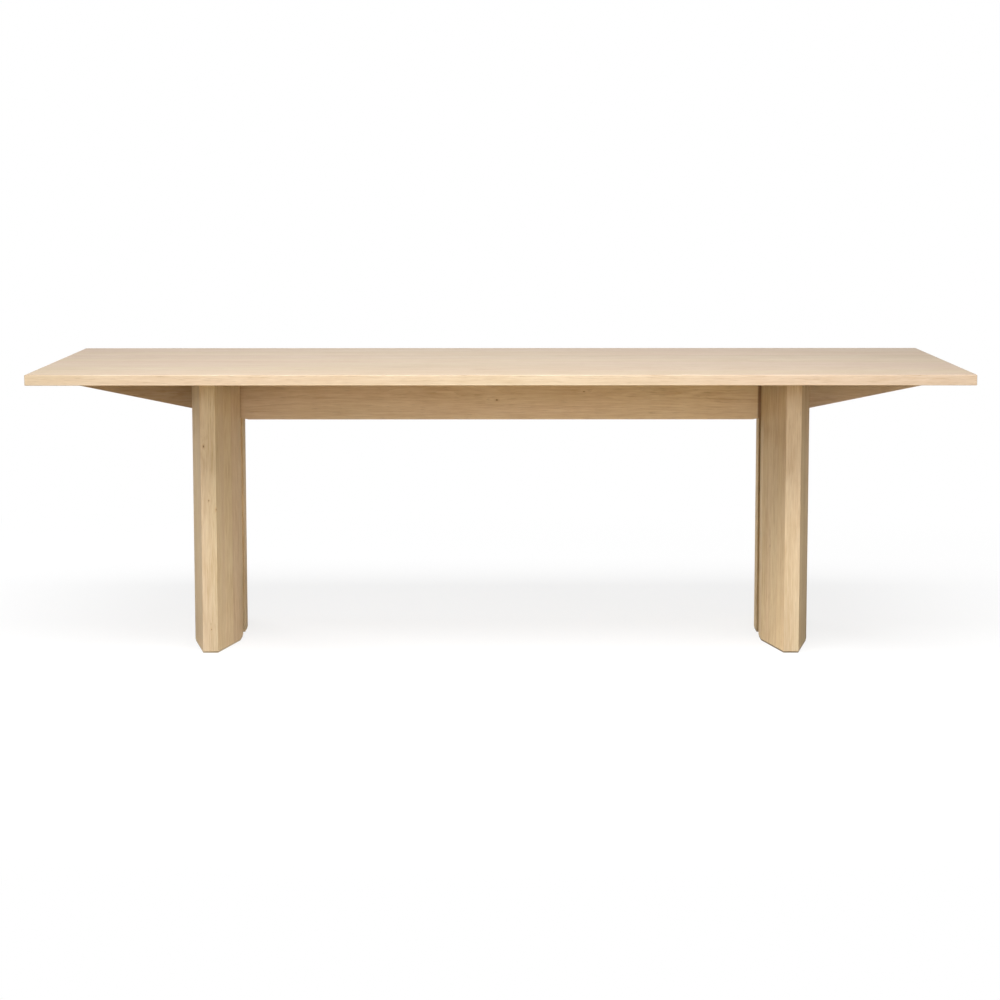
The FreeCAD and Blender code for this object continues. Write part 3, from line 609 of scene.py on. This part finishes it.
def floor_material():
    """A pale sweep that reads white to the camera, with a faint lit shadow and a painted shadow under the posts.
    The light it throws back at the table is warmer, as from a wooden studio floor."""
    mat, net, bsdf = new_material("pale_floor")
    here = net.coords()
    cloud = net.noise(here, scale=1.7, detail=3.0)
    net.put(bsdf.inputs["Base Color"], net.mix(cloud, (0.525, 0.427, 0.299), (0.543, 0.441, 0.309)))
    bsdf.inputs["Roughness"].default_value = 0.9
    bsdf.inputs["Specular IOR Level"].default_value = 0.05
    out = [n for n in mat.node_tree.nodes if n.type == "OUTPUT_MATERIAL"][0]
    lit = net.new("ShaderNodeBsdfDiffuse")
    lit.inputs["Color"].default_value = (0.9, 0.9, 0.9, 1.0)
    glow = net.new("ShaderNodeEmission")
    glow.inputs["Color"].default_value = (1.0, 1.0, 1.0, 1.0)
    glow.inputs["Strength"].default_value = 1.0
    far = net.step(net.vmath("LENGTH", net.vmath("MULTIPLY", here, (0.62, 1.0, 0.0))), 0.9, 2.6)
    white = net.new("ShaderNodeMixShader")
    net.put(white.inputs[0], net.madd(far, 0.20, 0.80))
    mat.node_tree.links.new(lit.outputs[0], white.inputs[1])
    mat.node_tree.links.new(glow.outputs[0], white.inputs[2])
    # painted shadow in the thin gap under each post: a dark emission over the posts' footprints, from their boxes,
    # lighter under the left posts than under the right
    nose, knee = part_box("post_front_right_board_1"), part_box("post_front_right_board_4")
    centre, full = (knee[0].x + knee[1].x) / 2, (knee[1].x - knee[0].x) / 2
    reach, slot, tip = -nose[0].y, -knee[1].y, 0.020
    fx, fy, fz = net.split(here)
    ax = net.math("ABSOLUTE", net.sub(net.math("ABSOLUTE", fx), centre))
    ay = net.math("ABSOLUTE", fy)
    half = net.math("MINIMUM", net.madd(net.sub(reach, ay), (full - tip) / 0.1854, tip), full)
    under = net.mul(net.step(net.sub(half, ax), 0.0, 0.002),
                    net.mul(net.step(net.sub(reach, ay), 0.0, 0.001), net.step(net.sub(ay, slot), 0.0, 0.002)))
    # and the painted shadow gets weaker as the feet are wound out and the floor goes down with them
    level = net.split(net.new("ShaderNodeNewGeometry").outputs["Position"])[2]
    under = net.mul(under, net.step(level, -0.010, 0.0, 0.35, 1.0))
    gap = net.new("ShaderNodeEmission")
    net.put(gap.inputs["Color"], net.mix(net.step(fx, -0.7, 0.7), lin(172, 155, 130), lin(134, 120, 101)))
    ground = net.new("ShaderNodeMixShader")
    net.put(ground.inputs[0], under)
    mat.node_tree.links.new(white.outputs[0], ground.inputs[1])
    mat.node_tree.links.new(gap.outputs[0], ground.inputs[2])
    seen = net.new("ShaderNodeMixShader")
    net.put(seen.inputs[0], net.new("ShaderNodeLightPath").outputs["Is Camera Ray"])
    mat.node_tree.links.new(bsdf.outputs[0], seen.inputs[1])
    mat.node_tree.links.new(ground.outputs[0], seen.inputs[2])
    # from below, the floor doesn't hide the underside of the table
    below = net.new("ShaderNodeMixShader")
    net.put(below.inputs[0], net.new("ShaderNodeNewGeometry").outputs["Backfacing"])
    mat.node_tree.links.new(seen.outputs[0], below.inputs[1])
    mat.node_tree.links.new(net.new("ShaderNodeBsdfTransparent").outputs[0], below.inputs[2])
    mat.node_tree.links.new(below.outputs[0], out.inputs[0])
    return mat


mesh = bpy.data.meshes.new("floor")
R = 40.0
mesh.from_pydata([(-R, -R, 0), (R, -R, 0), (R, R, 0), (-R, R, 0)], [], [(0, 1, 2, 3)])
floor = bpy.data.objects.new("floor", mesh)
scene.collection.objects.link(floor)
mesh.materials.append(floor_material())
floor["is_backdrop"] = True

# the floor meets the lowest foot, whatever the feet are set to
curve = floor.driver_add("location", 2)
curve.driver.type = "MIN"
for name, empty in frame["bodies"].items():
    if name.startswith("foot_"):
        var = curve.driver.variables.new()
        var.type = "TRANSFORMS"
        var.targets[0].id = empty
        var.targets[0].transform_type = "LOC_Z"
        var.targets[0].transform_space = "WORLD_SPACE"


def softbox(name, place, aim, size, power, glossy=True, color=(1.0, 1.0, 1.0)):
    data = bpy.data.lights.new(name, "AREA")
    data.shape = "RECTANGLE"
    data.size, data.size_y = size
    data.energy = power
    data.color = color
    obj = bpy.data.objects.new(name, data)
    obj.location = place
    obj.rotation_euler = (Vector(aim) - Vector(place)).to_track_quat("-Z", "Y").to_euler()
    obj.visible_camera = False
    obj.visible_glossy = glossy
    scene.collection.objects.link(obj)
    return obj


softbox("over_front", (0.0, -2.6, 4.6), (0.0, 0.0, 0.3), (5.0, 2.4), 367.0)
softbox("front_high", (0.0, -6.0, 4.2), (0.0, 0.0, 0.5), (5.0, 2.4), 45.0)
softbox("front_mid", (0.0, -8.0, 2.4), (0.0, 0.0, 0.5), (5.0, 2.0), 149.0)
softbox("right_front", (5.0, -5.0, 2.4), (0.0, 0.0, 0.5), (3.0, 2.6), 71.0, glossy=False)
softbox("left_side", (-6.4, 0.7, 1.8), (0.0, 0.0, 0.5), (2.0, 2.2), 46.0, glossy=False, color=(0.82, 1.0, 1.30))
softbox("back_left", (-4.6, 5.4, 2.4), (0.0, 0.0, 0.5), (3.0, 2.2), 311.0, glossy=False)
softbox("back_right", (4.6, 5.4, 2.4), (0.0, 0.0, 0.5), (3.0, 2.2), 99.0, glossy=False)
softbox("back_high", (0.0, 6.0, 3.6), (0.0, 0.0, 0.5), (5.0, 2.6), 18.0)
softbox("back_low", (0.0, 7.5, 1.5), (0.0, 0.0, 0.6), (6.0, 1.6), 15.0)

world = bpy.data.worlds.new("studio")
scene.world = world
world.use_nodes = True
for n in list(world.node_tree.nodes):
    world.node_tree.nodes.remove(n)
wn = Net(world.node_tree)
out = wn.new("ShaderNodeOutputWorld")
bg_light = wn.new("ShaderNodeBackground", name="ambient")
bg_light.inputs[0].default_value = (1.0, 1.0, 1.0, 1.0)
bg_light.inputs[1].default_value = 0.01
bg_seen = wn.new("ShaderNodeBackground")
bg_seen.inputs[0].default_value = (1.0, 1.0, 1.0, 1.0)
bg_seen.inputs[1].default_value = 1.0
path = wn.new("ShaderNodeLightPath")
blend = wn.new("ShaderNodeMixShader")
world.node_tree.links.new(path.outputs["Is Camera Ray"], blend.inputs[0])
world.node_tree.links.new(bg_light.outputs[0], blend.inputs[1])
world.node_tree.links.new(bg_seen.outputs[0], blend.inputs[2])
world.node_tree.links.new(blend.outputs[0], out.inputs[0])

scene.view_settings.view_transform = "Standard"
scene.view_settings.look = "None"
scene.view_settings.exposure = 0.0
scene.view_settings.gamma = 1.0

cam_data = bpy.data.cameras.new("camera")
cam_data.sensor_width = 36.0
cam_data.lens = 95.14
cam_data.shift_x = 0.0019
cam_data.clip_start, cam_data.clip_end = 0.1, 200.0
camera = bpy.data.objects.new("camera", cam_data)
camera.location = (0.0025, -7.1400, 1.2670)
camera.rotation_mode = "XYZ"
camera.rotation_euler = (math.pi / 2 - 0.1250, 0.0005, 0.0013)
scene.collection.objects.link(camera)
scene.camera = camera

low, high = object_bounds()
